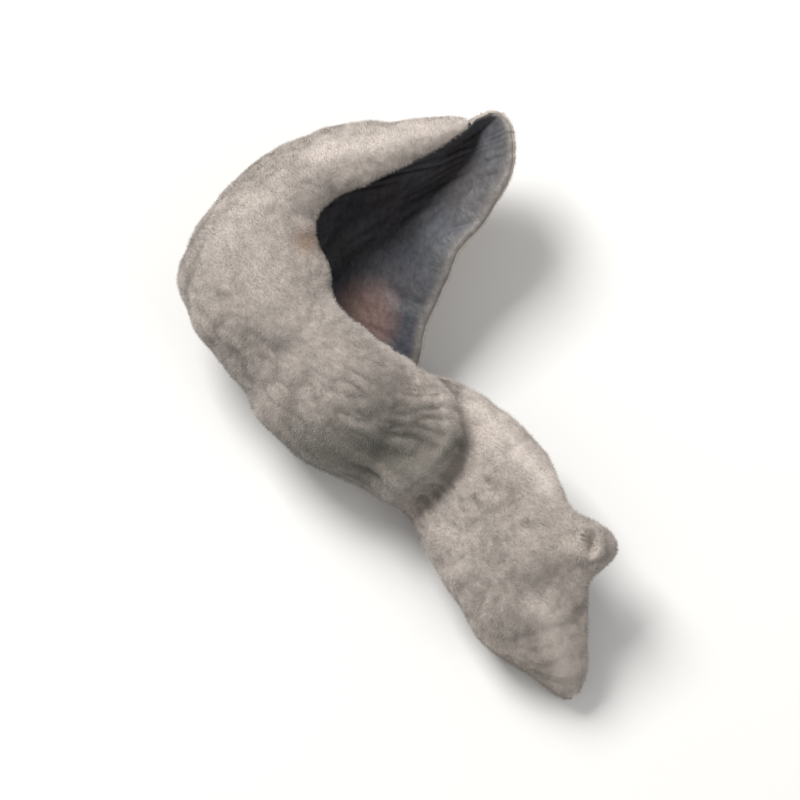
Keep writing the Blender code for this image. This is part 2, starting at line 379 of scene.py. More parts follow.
def pull_knob(points):
    """Pulls the knob out of the tongue's margin."""
    away = np.linalg.norm(sheet[:, :, :2] - KNOB, axis=2)
    reach = smooth_step((KNOB_RADIUS - away) / KNOB_FLANK) * (width_part < NEAR_LIP)
    points[:, :, 0] += KNOB_REACH * reach
    points[:, :, 1] += KNOB_SPREAD * reach * (sheet[:, :, 1] - KNOB[1])
    return points


def ring_knob(points):
    """Raises a ring on the knob, because its edge curled over, and sinks its middle."""
    from_ring = np.linalg.norm((points[:, :, :2] - KNOB_RING) / KNOB_RING_RADII, axis=2)
    ring = np.exp(-(((from_ring - 1) / KNOB_RING_WIDTH) ** 2))
    ring -= KNOB_PIT_DEPTH * np.exp(-((from_ring / KNOB_PIT_WIDTH) ** 2))
    points[:, :, 2] += KNOB_RING_HEIGHT * ring * part_of_width(NEAR_LIP, 0.05)
    return points


foot = FOOT_DEPTH * mound(sheet, FOOT, FOOT_RADIUS) * (width_part > LOWER_HALF)
body = pull_knob(settle(sheet + smooth_normal * rise[:, :, None]))
in_plan = body[:, :, :2].reshape(-1, 2)
centre = (in_plan.min(axis=0) + in_plan.max(axis=0)) / 2
print("the sheet's middle in plan, in mm:", centre.round(2))

# %% [markdown]
# ## Wrinkles
#
# Four kinds of wrinkle show on a dried ear. All over the felt there is a crepe of soft pads with sharp
# valleys between them, which is what the absolute value of a noise looks like. At the neck, where the sheet
# was drawn together, gathers run along it. At the margins short crimps run across the edge. The inner face
# keeps only broad, soft folds, because the tissue between the two faces smooths out the rest. Gathers, crimps
# and folds are worked out over the sheet's own two directions, so they follow it wherever it turns. A bump in
# the material would be quicker, but it leaves the outline smooth and is lost in a plain mesh.

# %% Wrinkle heights
CREPE = ((3.4, 0.20), (1.9, 0.13), (0.95, 0.065), (0.48, 0.024))
GATHERS = (-0.9, -3.2)
GATHERS_RADIUS = 4.6
GATHER_DEPTH = 0.24
CRIMP_DEPTH = 0.10
CRIMP_WIDTH = 1.2
FOLD_DEPTH = 0.13
FOLD_WAVELENGTH = 2.4
PAD_MIDDLE = 0.4
CALM_EDGE = 0.5
CALM_INNER_EDGE = 0.8

over_sheet = np.dstack([along, across, np.zeros_like(along)])


def pads(places, wavelength, offset):
    """Soft pads with sharp valleys between them, from 0 in a valley to about 1."""
    warp = 0.35 * lumps(places, 1.7 * wavelength, offset + 20.0)
    return np.abs(lumps(places + warp[:, :, None] * wavelength, wavelength, offset)) * 1.8


def felt_wrinkles():
    """Height of the wrinkles on the felted face."""
    patchy = 0.55 + 0.45 * lumps(sheet, 5.0, 8.0)
    height = sum(depth * (pads(sheet, size, size) - PAD_MIDDLE) for size, depth in CREPE) * patchy
    stretched = over_sheet * (0.30, 0.95, 1.0)
    gathers = pads(stretched, 0.9, 3.0) - PAD_MIDDLE
    height += GATHER_DEPTH * gathers * mound(sheet, GATHERS, GATHERS_RADIUS)
    crimps = lumps(over_sheet * (1.0, 0.25, 1.0), 0.75, 6.0)
    height += CRIMP_DEPTH * crimps * np.exp(-((to_margin / CRIMP_WIDTH) ** 2))
    return height * smooth_step(to_edge / CALM_EDGE)


def inner_folds():
    """Height of the soft folds on the inner face."""
    height = FOLD_DEPTH * (pads(over_sheet * (0.6, 1.0, 1.0), FOLD_WAVELENGTH, 12.0) - PAD_MIDDLE)
    height += 0.02 * lumps(sheet, 0.6, 15.0)
    return height * smooth_step(to_edge / CALM_INNER_EDGE)


wrinkles = felt_wrinkles()
folds = inner_folds()
print("wrinkles, in mm:", wrinkles.min().round(3), "to", wrinkles.max().round(3))

# %% [markdown]
# ## Ragged margins
#
# The thin margins don't end in a drawn line. They wander in and out by a few tenths of a millimetre, and the
# lip's edge has a small tooth and a notch where it tore. The rows' end points are pulled along the sheet's
# own direction there, and the pull fades out within a millimetre or so. Where the margin turns sharply, at
# the knob and at the two tips, the grid's points would cross. So the sheet's far corner is first pressed
# round, and the points of all these places are drawn towards their neighbours.

# %% Margins that wander
MARGIN_WANDER = 0.22
MARGIN_FADE = 1.1
INSIDE_MARGIN = 8
CORNER_RADIUS = 1.5
TIGHT_SPOTS = (
    ((10.6, -8.7), 1.9),
    ((10.8, -10.3), 0.9),
    ((10.5, -7.1), 0.9),
    ((4.4, 15.4), 1.2),
    ((5.3, 16.6), 1.3),
    ((10.4, -17.0), 1.2),
)
RELAX_ROUNDS = 18
CORNERS = ((0, 0, -1, -1), (0, -1, 0, -1))
BESIDE_CORNERS = (((0, 0, -1, -1), (1, -2, 1, -2)), ((1, 1, -2, -2), (0, -1, 0, -1)))
TOOTH = (-3.9, 12.1)
NOTCH = (-4.2, 10.9)
TEAR_RADIUS = 0.75
TEAR_REACH = 0.55


def wander_margin(points, edge, inside, seed):
    """Moves one long margin, a column of the grid, in and out along the sheet."""
    direction = points[:, edge] - points[:, inside]
    direction /= np.linalg.norm(direction, axis=1, keepdims=True)
    on_edge = over_sheet[:, edge:edge + 1]
    calmer = np.clip(0.5 + 1.2 * lumps(on_edge, 4.0, seed + 3), 0.1, 1.2)[:, 0]
    reach = MARGIN_WANDER * lumps(on_edge, 2.6, seed)[:, 0]
    reach += 0.5 * MARGIN_WANDER * calmer * lumps(on_edge, 0.8, seed)[:, 0]
    if edge == 0:
        torn = mound(sheet, TOOTH, TEAR_RADIUS) - mound(sheet, NOTCH, TEAR_RADIUS)
        reach += TEAR_REACH * torn[:, 0]
    reach *= smooth_step(to_tip[:, edge] / TIP_LENGTH)
    distance = np.abs(across - across[:, edge:edge + 1]) / MARGIN_FADE
    return points + (direction * reach[:, None])[:, None, :] * np.exp(-(distance**2))[:, :, None]


def round_far_corner(points, radius):
    """Rounds the sheet's far corner at the cup's tip, as a square's corner is pressed into a disc's."""
    from_tip = np.clip(1 - along / radius, 0, 1)
    from_margin = np.clip(1 - (across[:, -1:] - across) / radius, 0, 1)
    away_from_tip, away_from_margin = np.gradient(points, axis=0), -np.gradient(points, axis=1)
    away_from_tip /= np.linalg.norm(away_from_tip, axis=2, keepdims=True)
    away_from_margin /= np.linalg.norm(away_from_margin, axis=2, keepdims=True)
    by_tip = radius * from_tip * (1 - np.sqrt(1 - from_margin**2 / 2))
    by_margin = radius * from_margin * (1 - np.sqrt(1 - from_tip**2 / 2))
    return points + away_from_tip * by_tip[:, :, None] + away_from_margin * by_margin[:, :, None]


def relaxed(points, where, rounds):
    """Draws each point towards its neighbours, as far as where says, so that tight curls don't cross."""
    points = points.copy()
    for _ in range(rounds):
        around = points.copy()
        around[1:-1] = (points[:-2] + points[2:]) / 2
        middle = points[:, :-2] + points[:, 2:]
        around[1:-1, 1:-1] = (around[1:-1, 1:-1] + middle[1:-1] / 2) / 2
        around[[0, -1], 1:-1] = middle[[0, -1]] / 2
        around[CORNERS] = sum(points[beside] for beside in BESIDE_CORNERS) / 2
        points += where[:, :, None] * (around - points)
    return points


tight = sum(mound(sheet, *spot) for spot in TIGHT_SPOTS)
body = round_far_corner(body, CORNER_RADIUS)
body = ring_knob(relaxed(body, np.clip(tight, 0, 1), RELAX_ROUNDS))
body = wander_margin(body, 0, INSIDE_MARGIN, 2.5)
body = wander_margin(body, COLUMNS - 1, COLUMNS - 1 - INSIDE_MARGIN, 4.5)
print("margins wander by up to", MARGIN_WANDER, "mm")

# %% [markdown]
# ## Two faces and a round edge
#
# The solid sheet is made of two grids of the same size that share their border points. The felted face stays
# where it is and the inner face lies a thickness behind it. Near the border the thickness falls like a
# quarter of an ellipse, so the two faces meet in a round edge. A Solidify modifier would give a square edge,
# and would press every wrinkle of the felt through to the inner face.

# %% Thickness, and the points of both faces
SHEET_THICKNESS = 0.95
MARGIN_THICKNESS = 0.50
TIP_THICKNESS = 0.30
MARGIN_WIDTH = 2.2
EDGE_ROUND = 0.30
INNER_SMOOTHING = 14

thick = MARGIN_THICKNESS + (SHEET_THICKNESS - MARGIN_THICKNESS) * smooth_step(to_margin / MARGIN_WIDTH)
thick = TIP_THICKNESS + (thick - TIP_THICKNESS) * smooth_step(to_tip / TIP_LENGTH)
fullness = np.sqrt(1 - (1 - np.clip(to_edge / EDGE_ROUND, 0, 1)) ** 2)


def smoothed(points, rounds):
    """The grid with its small bumps averaged away. The border stays."""
    points = points.copy()
    for _ in range(rounds):
        around = points[:-2, 1:-1] + points[2:, 1:-1] + points[1:-1, :-2] + points[1:-1, 2:]
        points[1:-1, 1:-1] = 0.5 * points[1:-1, 1:-1] + 0.125 * around
    return points


body_normal = outward(body)
felt_shift = wrinkles - 0.5 * thick * (1 - fullness)
felt_face = body + body_normal * felt_shift[:, :, None]
felt_face[:, :, 2] -= foot

calm = smoothed(body, INNER_SMOOTHING)
calm_normal = outward(calm)
inner_shift = -0.5 * thick * (1 + fullness) - folds
inner_face = calm + calm_normal * inner_shift[:, :, None]
inner_face[:, :, 2] -= (1 - FOOT_FILLED) * foot
print("the sheet is", thick.min().round(2), "to", thick.max().round(2), "mm thick")

# %% [markdown]
# ## The cut foot
#
# The foot was cut from the log, so the boss under the cup ends in a flat face. A Boolean cut would leave
# slivers round it. The points that would go below the ground are laid on it instead, with the slight torn
# roughness of a cut through tough tissue.

# %% Flat where it was cut and where it rests
SCAR_ROUGHNESS = 0.12
SCAR_LIFT = 0.22
SCAR_FADE = 0.25
ON_FOOT = 0.5


def lay_on_ground(points):
    """Lays what would go below the ground onto it, and says how much of each point is cut scar."""
    height = points[:, :, 2]
    scar = smooth_step((SCAR_LIFT - height) / SCAR_FADE) * (foot > ON_FOOT)
    torn = SCAR_ROUGHNESS * np.clip(0.3 + 0.7 * lumps(points, 0.7, 7.0), 0, 1) * smooth_step(-height / 0.3)
    points[:, :, 2] = np.where(height < 0, torn * (foot > ON_FOOT), height)
    return scar


scar = lay_on_ground(felt_face)
print("points on the cut face:", int((scar > 0.9).sum()))

# %% [markdown]
# ## One closed mesh
#
# The two grids become one mesh. Each point also keeps a few numbers, such as how near it is to an edge and
# how deep in a wrinkle it lies, as attributes of the mesh. The materials read them, so a colour that belongs
# to a place on the sheet stays on that place, and the velvet later takes its density from such numbers too.
# Some of the numbers say where shade, highlights and a glow are painted into the colours.
# The UV map follows the unrolled sheet.

# %% The mesh of the ear
def closed_mesh(name, felt_face, inner_face):
    """A closed mesh from the two faces' grids, which share the felted face's border points."""
    rows, columns = felt_face.shape[:2]
    felted = np.arange(rows * columns).reshape(rows, columns)
    inner = felted.copy()
    inner[1:-1, 1:-1] = rows * columns + np.arange((rows - 2) * (columns - 2)).reshape(rows - 2, columns - 2)

    def quads(index, order):
        corners = {"00": index[:-1, :-1], "01": index[:-1, 1:], "11": index[1:, 1:], "10": index[1:, :-1]}
        return np.stack([corners[corner] for corner in order], axis=2).reshape(-1, 4)

    points = np.concatenate([felt_face.reshape(-1, 3), inner_face[1:-1, 1:-1].reshape(-1, 3)])
    faces = np.concatenate([quads(felted, ("00", "01", "11", "10")), quads(inner, ("00", "10", "11", "01"))])
    mesh = bpy.data.meshes.new(name)
    mesh.from_pydata(points.tolist(), [], faces.tolist())
    inner_first = (rows - 1) * (columns - 1)
    mesh.polygons.foreach_set("material_index", (np.arange(len(faces)) >= inner_first).astype(np.int32))
    mesh.shade_smooth()
    return mesh


def place(points):
    """From the stations' millimetres to the frame's metres, centred on the solid ear in plan."""
    middle = (low + high) / 2
    return (points - (*centre, 0.0)) * MM + (middle.x, middle.y, 0.0)


def keep_on_points(mesh, name, felted, inner):
    """Keeps a number for each point of the mesh, given over both grids."""
    attribute = mesh.attributes.new(name, "FLOAT", "POINT")
    values = np.concatenate([felted.ravel(), inner[1:-1, 1:-1].ravel()]).astype(np.float32)
    attribute.data.foreach_set("value", values)


mesh = closed_mesh("dried ear", place(felt_face), place(inner_face))
ear = bpy.data.objects.new("ear", mesh)
bpy.context.scene.collection.objects.link(ear)
print(len(mesh.vertices), "points and", 2 * len(mesh.polygons), "triangles")

# %% What the materials read from the mesh
# A painted glow inside the cup, where light comes through the lip.
PAINTED_GLOW = ((-1.4, 5.0), 2.4)
RUST = ((-4.8, 8.2), 0.95)
# Painted highlights along lines in plan: start, end, width and weight.
PAINTED_HIGHLIGHT_LINES = (
    ((-3.3, 4.9), (1.4, 1.5), 0.5, 0.5),
    ((4.6, -0.8), (8.9, -5.2), 1.0, 0.6),
    ((1.2, -7.0), (3.6, -9.6), 1.2, 0.25),
    ((8.8, -12.6), (9.9, -15.6), 1.0, 0.65),
    ((-9.6, 9.5), (-5.0, 13.0), 1.6, 0.12),
    ((-9.0, 7.5), (-4.5, 1.5), 2.4, 0.20),
    ((-4.0, 13.6), (4.4, 15.6), 1.0, 0.45),
)
# Painted shade: a line along the lip's end and the crease's foot are darkened in the felt's colour, and so
# are a few listed spots.
PAINTED_SHADE_LINE = ((-4.6, -3.3), (1.4, -3.4), 2.5)
CREASE_SHADE_LINE = ((1.1, -5.2), (3.8, -2.9), 0.50)
CREASE_SHADE_DARKNESS = 1.0
DARKENED_SPOTS = (
    ((-0.4, -0.2), 0.9, 0.45),
    ((-9.0, 1.6), 1.6, 0.3),
    ((5.6, -10.0), 2.2, 0.24),
    ((2.6, -6.8), 1.2, 0.18),
)
EDGE_WIDTH = 0.55
WRINKLE_REACH = 12
INNER_FOLD_REACH = 24
HIGHEST = 10.0


def valley(height, radius):
    """How far a point lies below its surroundings over the grid, from 0 to 1."""
    around = height.copy()
    for _ in range(radius):
        padded = np.pad(around, 1, mode="edge")
        around = (padded[:-2, 1:-1] + padded[2:, 1:-1] + padded[1:-1, :-2] + padded[1:-1, 2:]) / 4
    below = around - height
    return np.clip(below / (3 * below.std()) * 0.5 + 0.5, 0, 1)


zero = np.zeros_like(to_edge)
low_in_wrinkle = valley(0.3 * rise + wrinkles, WRINKLE_REACH)
inner_low = valley(-folds, INNER_FOLD_REACH)
edge = np.exp(-((to_margin / EDGE_WIDTH) ** 2))
from_crease = np.linalg.norm(sheet[:, :, :2] - CREASE_CENTRE, axis=2) - CREASE_RADIUS
on_band = 1 / (1 + np.exp(from_crease / 0.15)) + (sheet[:, :, 0] < -1.5)
painted_shade = line_mound(sheet, *PAINTED_SHADE_LINE) * np.clip(on_band, 0, 1)
painted_shade += sum(weight * mound(sheet, spot, radius) for spot, radius, weight in DARKENED_SPOTS)
painted_shade = np.maximum(painted_shade, CREASE_SHADE_DARKNESS * line_mound(sheet, *CREASE_SHADE_LINE))
painted_shade *= (0.8 + 0.35 * lumps(over_sheet * (0.4, 1.0, 1.0), 1.3, 9.0)) * part_of_width(0.62, 0.1)
# The felt is painted darker by the valley numbers, as painted shade in its wrinkles.
keep_on_points(mesh, "valley", low_in_wrinkle, inner_low)
keep_on_points(mesh, "edge", edge, edge)
keep_on_points(mesh, "scar", scar, zero)
keep_on_points(mesh, "painted_shade", np.clip(painted_shade, 0, 1), zero)
# Painted highlights along these lines, on the lip's side only.
pale = sum(weight * line_mound(sheet, start, end, width) for start, end, width, weight in PAINTED_HIGHLIGHT_LINES)
keep_on_points(mesh, "pale", np.clip(pale, 0, 1) * top_side, zero)
keep_on_points(mesh, "painted_glow", mound(sheet, *PAINTED_GLOW), mound(sheet, *PAINTED_GLOW))
keep_on_points(mesh, "rust", mound(sheet, *RUST) * (width_part < 0.4), mound(sheet, *RUST))
# The inner face is painted paler by these heights, as painted light that is stronger up high.
heights = [np.clip(face[:, :, 2] / HIGHEST, 0, 1) for face in (felt_face, inner_face)]
keep_on_points(mesh, "rise", *heights)
print("attributes:", [attribute.name for attribute in mesh.attributes if attribute.domain == "POINT"])


# %% A UV map along and across the sheet
UV_SIZE = 40.0


def unroll(mesh):
    """Gives the mesh a UV map that holds each point's place on the unrolled sheet."""
    flat = np.dstack([across, along]) / UV_SIZE
    of_point = np.concatenate([flat.reshape(-1, 2), flat[1:-1, 1:-1].reshape(-1, 2)])
    corner = np.empty(len(mesh.loops), dtype=np.int32)
    mesh.loops.foreach_get("vertex_index", corner)
    layer = mesh.uv_layers.new(name="sheet")
    layer.data.foreach_set("uv", of_point[corner].astype(np.float32).ravel())


unroll(mesh)
print("the UV map spans", round(float(across.max()), 1), "by", round(float(along.max()), 1), "mm of sheet")

# %% [markdown]
# ## The felt
#
# The felted face is a nap of pale, greyish-brown hairs over darker skin. From a distance it reads as matt,
# mottled felt. Highlights are painted paler along some crests and margins, and shade is painted darker down
# in the wrinkles, at the neck and along its crease.
# It could be painted, but noises over the object stay sharp from near and far: a fine one gives the grain
# and a broad one the patches. A little sheen brightens what turns away from the viewer, as on cloth.

# %% Node helpers
def new_material(name):
    """A material with an empty node tree apart from its shader and output."""
    material = bpy.data.materials.new(name)
    material.use_nodes = True
    return material, material.node_tree, material.node_tree.nodes["Principled BSDF"]


def add_node(tree, kind, **settings):
    """Adds a node, sets what it is given and returns it."""
    node = tree.nodes.new(kind)
    for name, value in settings.items():
        setattr(node, name, value)
    return node


def noise_of(tree, wavelength, detail=2.0, stretch=(1.0, 1.0, 1.0), shift=0.0):
    """The Fac output of a noise over the object, with its wavelength in millimetres."""
    where = add_node(tree, "ShaderNodeTexCoord")
    mapping = add_node(tree, "ShaderNodeMapping")
    mapping.inputs["Scale"].default_value = stretch
    mapping.inputs["Location"].default_value = (shift, 0.0, 0.0)
    texture = add_node(tree, "ShaderNodeTexNoise")
    texture.inputs["Scale"].default_value = 1 / (wavelength * MM)
    texture.inputs["Detail"].default_value = detail
    tree.links.new(where.outputs["Object"], mapping.inputs["Vector"])
    tree.links.new(mapping.outputs["Vector"], texture.inputs["Vector"])
    return texture.outputs["Fac"]


def attribute_of(tree, name):
    """The value of one of the mesh's attributes."""
    return add_node(tree, "ShaderNodeAttribute", attribute_name=name).outputs["Fac"]


def ramp(tree, value, *stops):
    """A colour ramp over a value. Each stop is a place and a colour or a grey."""
    node = add_node(tree, "ShaderNodeValToRGB")
    elements = node.color_ramp.elements
    while len(elements) < len(stops):
        elements.new(0.5)
    for element, (position, colour) in zip(elements, stops):
        element.position = position
        element.color = (*colour, 1.0) if isinstance(colour, tuple) else (colour, colour, colour, 1.0)
    tree.links.new(value, node.inputs["Fac"])
    return node.outputs["Color"]


def blend(tree, factor, first, second, how="MIX"):
    """Mixes two colours. Any of the three may be a socket or a value."""
    node = add_node(tree, "ShaderNodeMix", data_type="RGBA", blend_type=how, clamp_factor=True)
    for socket, value in zip((node.inputs[0], node.inputs[6], node.inputs[7]), (factor, first, second)):
        if isinstance(value, bpy.types.NodeSocket):
            tree.links.new(value, socket)
        elif isinstance(value, tuple):
            socket.default_value = (*value, 1.0)
        else:
            socket.default_value = value
    return node.outputs[2]


def bump(tree, shader, height, depth, strength=1.0):
    """Adds a bump of a depth in millimetres under the shader, on top of any that is there."""
    node = add_node(tree, "ShaderNodeBump")
    node.inputs["Strength"].default_value = strength
    node.inputs["Distance"].default_value = depth * MM
    tree.links.new(height, node.inputs["Height"])
    if shader.inputs["Normal"].is_linked:
        tree.links.new(shader.inputs["Normal"].links[0].from_socket, node.inputs["Normal"])
    tree.links.new(node.outputs["Normal"], shader.inputs["Normal"])


print("node helpers are ready")

# %% The felt's colour, grain and sheen
FELT_PALE = (0.470, 0.410, 0.362)
FELT_MIDDLE = (0.330, 0.284, 0.252)
FELT_PAINTED_CREASE_SHADE = (0.165, 0.138, 0.120)
FELT_PAINTED_SHADE = (0.085, 0.080, 0.062)
MARGIN_PALE = (0.44, 0.37, 0.31)
FELT_PAINTED_HIGHLIGHT = (0.665, 0.595, 0.540)
RUST_COLOUR = (0.180, 0.100, 0.055)
SCAR_COLOUR = (0.42, 0.31, 0.20)
SCAR_DARK = (0.29, 0.19, 0.115)
BARK_COLOUR = (0.085, 0.055, 0.038)
HAIR_TINT = (1.0, 0.97, 0.93)
SKIN_LIGHTER = 0.03
HAIR_LIGHTER = 0.20


def felt(name, lighter):
    """The felted face's material. Hairs are lighter than the skin, because they shade each other, and each
    has its own shade."""
    material, tree, shader = new_material(name)
    patches = ramp(tree, noise_of(tree, 6.0, 3.0), (0.36, FELT_MIDDLE), (0.64, FELT_PALE))
    grain = ramp(tree, noise_of(tree, 0.55, 4.0, shift=0.3), (0.35, 0.72), (0.65, 1.0))
    colour = blend(tree, 1.0, patches, grain, "MULTIPLY")
    # Painted shade down in the wrinkles.
    down = ramp(tree, attribute_of(tree, "valley"), (0.45, 0.0), (0.85, 0.65))
    colour = blend(tree, down, colour, FELT_PAINTED_CREASE_SHADE)
    # Painted shade at the lip's end and along the crease.
    colour = blend(tree, attribute_of(tree, "painted_shade"), colour, FELT_PAINTED_SHADE)
    # Painted highlights along listed crests and margins.
    colour = blend(tree, attribute_of(tree, "pale"), colour, FELT_PAINTED_HIGHLIGHT)
    rust = ramp(tree, attribute_of(tree, "rust"), (0.2, 0.0), (0.85, 0.7))
    colour = blend(tree, rust, colour, RUST_COLOUR)
    margin = ramp(tree, attribute_of(tree, "edge"), (0.2, 0.0), (1.0, 0.6))
    colour = blend(tree, margin, colour, MARGIN_PALE)
    rim = ramp(tree, attribute_of(tree, "scar"), (0.05, 0.0), (0.45, 0.85), (0.95, 0.0))
    colour = blend(tree, rim, colour, BARK_COLOUR)
    wood = noise_of(tree, 0.5, 5.0)
    cut = ramp(tree, wood, (0.22, BARK_COLOUR), (0.42, SCAR_DARK), (0.68, SCAR_COLOUR))
    cut_face = ramp(tree, attribute_of(tree, "scar"), (0.4, 0.0), (1.0, 1.0))
    colour = blend(tree, cut_face, colour, cut)
    colour = blend(tree, lighter, colour, HAIR_TINT, "ADD")
    shade = ramp(tree, attribute_of(tree, "shade"), (0.0, 1.0), (1.0, 0.66))
    colour = blend(tree, 1.0, colour, shade, "MULTIPLY")
    tree.links.new(colour, shader.inputs["Base Color"])
    shader.inputs["Roughness"].default_value = 0.92
    shader.inputs["Specular IOR Level"].default_value = 0.2
    shader.inputs["Sheen Weight"].default_value = 0.25
    shader.inputs["Sheen Roughness"].default_value = 0.5
    bump(tree, shader, noise_of(tree, 0.9, 3.0, shift=0.1), 0.10)
    bump(tree, shader, noise_of(tree, 0.22, 3.0, shift=0.2), 0.05)
    return material


felt_material = felt("felt", SKIN_LIGHTER)
mesh.materials.append(felt_material)
print("felt:", len(felt_material.node_tree.nodes), "nodes")

# %% [markdown]
# ## The smooth inner face
#
# The inner face carried the spores. Dry, it is a dark slate brown skin with a dull, waxy gloss, paler where
# it thins out towards its margins. Its colour is also painted paler the higher it stands, as painted light,
# and a warm glow is painted near the lip, where light comes through it. Its gloss is uneven, because the
# dried slime lies thicker in the folds. Faint veins and a fine grain lie in its bump.

# %% The inner face's colour and gloss
INNER_DARK = (0.066, 0.071, 0.090)
INNER_MIDDLE = (0.070, 0.071, 0.078)
INNER_PAINTED_LIGHT = (0.130, 0.127, 0.127)
INNER_BROWN = (0.085, 0.066, 0.064)
INNER_PAINTED_GLOW = (0.420, 0.265, 0.225)
INNER_MARGIN = (0.250, 0.225, 0.200)


def veins_of(tree, wavelength):
    """Raised veins of a net with a mesh this wide in millimetres, over the object."""
    where = add_node(tree, "ShaderNodeTexCoord")
    wobble = add_node(tree, "ShaderNodeTexNoise")
    wobble.inputs["Scale"].default_value = 1 / (wavelength * MM)
    bend = add_node(tree, "ShaderNodeVectorMath", operation="SCALE")
    bend.inputs["Scale"].default_value = 0.8 * wavelength * MM
    bent = add_node(tree, "ShaderNodeVectorMath", operation="ADD")
    net = add_node(tree, "ShaderNodeTexVoronoi", feature="DISTANCE_TO_EDGE")
    net.inputs["Scale"].default_value = 1 / (wavelength * MM)
    tree.links.new(where.outputs["Object"], wobble.inputs["Vector"])
    tree.links.new(wobble.outputs["Color"], bend.inputs[0])
    tree.links.new(where.outputs["Object"], bent.inputs[0])
    tree.links.new(bend.outputs[0], bent.inputs[1])
    tree.links.new(bent.outputs[0], net.inputs["Vector"])
    return ramp(tree, net.outputs["Distance"], (0.0, 1.0), (0.35, 0.0))


def smooth_skin():
    """The inner face's material."""
    material, tree, shader = new_material("smooth inner face")
    clouds = ramp(tree, noise_of(tree, 3.5, 4.0), (0.38, INNER_DARK), (0.66, INNER_MIDDLE))
    bruise = ramp(tree, noise_of(tree, 5.0, 2.0, shift=0.9), (0.45, 0.0), (0.65, 0.6))
    clouds = blend(tree, bruise, clouds, INNER_BROWN)
    # Painted light: the inner face is paler the higher it stands.
    painted_light_high_up = ramp(tree, attribute_of(tree, "rise"), (0.40, 0.0), (0.85, 0.75))
    colour = blend(tree, painted_light_high_up, clouds, INNER_PAINTED_LIGHT)
    # A painted glow where light comes through the lip.
    glow_through_lip = ramp(tree, attribute_of(tree, "painted_glow"), (0.25, 0.0), (0.95, 0.8))
    colour = blend(tree, glow_through_lip, colour, INNER_PAINTED_GLOW)
    margin = ramp(tree, attribute_of(tree, "edge"), (0.1, 0.0), (1.0, 0.7))
    colour = blend(tree, margin, colour, INNER_MARGIN)
    speckle = ramp(tree, noise_of(tree, 0.35, 3.0, shift=0.7), (0.35, 0.75), (0.65, 1.0))
    colour = blend(tree, 1.0, colour, speckle, "MULTIPLY")
    tree.links.new(colour, shader.inputs["Base Color"])
    gloss = ramp(tree, noise_of(tree, 1.6, 3.0, shift=0.5), (0.3, 0.42), (0.7, 0.72))
    tree.links.new(gloss, shader.inputs["Roughness"])
    bump(tree, shader, noise_of(tree, 1.3, 4.0, shift=0.4), 0.12)
    bump(tree, shader, veins_of(tree, 1.5), 0.012)
    bump(tree, shader, noise_of(tree, 0.28, 3.0, shift=0.6), 0.035)
    return material


inner_material = smooth_skin()
mesh.materials.append(inner_material)
print("inner face:", len(inner_material.node_tree.nodes), "nodes")

# %% [markdown]
# ## The velvet nap
#
# Up close the felt is a dense nap of hairs a fraction of a millimetre long, which leave a soft outline. Hair
# curves would be lost in a plain mesh, so each hair is a spike of four triangles. Geometry Nodes scatter the
# spikes over the felted face, as many to each place as an attribute asks for, lean them over by a noise, so
# that they lie in tufts, and hand each one its place's colour numbers. None grows on the cut, at a margin's
# very edge or where the sheet lies on the ground. Four patches of nap are made, so that no mesh grows too
# large.

# %% Where the nap grows
NAP_PATCHES = ("cup_tip", "cup", "neck", "tongue")
NAP_CLEARANCE = 0.35
NAP_FADE = 0.2
NAP_THINNED_IN_PAINTED_SHADE = 0.4


def felted_area():
    """Area of the felted face around each of its points, in square millimetres."""
    step_along, step_across = np.gradient(felt_face, axis=0), np.gradient(felt_face, axis=1)
    return np.linalg.norm(np.cross(step_along, step_across), axis=2)


off_ground = smooth_step((felt_face[:, :, 2] - NAP_CLEARANCE) / NAP_FADE)
nap_thick = np.clip(1 - scar, 0, 1) * smooth_step(to_edge / NAP_FADE)
# The nap is thinned where shade is painted, which darkens the felt there further.
nap_thick = nap_thick * (1 - NAP_THINNED_IN_PAINTED_SHADE * np.clip(painted_shade, 0, 1)) * off_ground
nap_area = felted_area() * nap_thick
before = nap_area.sum(axis=1).cumsum() / nap_area.sum()
patch_of_row = np.minimum((before * len(NAP_PATCHES)).astype(int), len(NAP_PATCHES) - 1)
for number, patch in enumerate(NAP_PATCHES):
    keep_on_points(mesh, "nap_" + patch, nap_thick * (patch_of_row == number)[:, None], zero)
print("nap on", round(float(nap_area.sum())), "mm2 of felt")


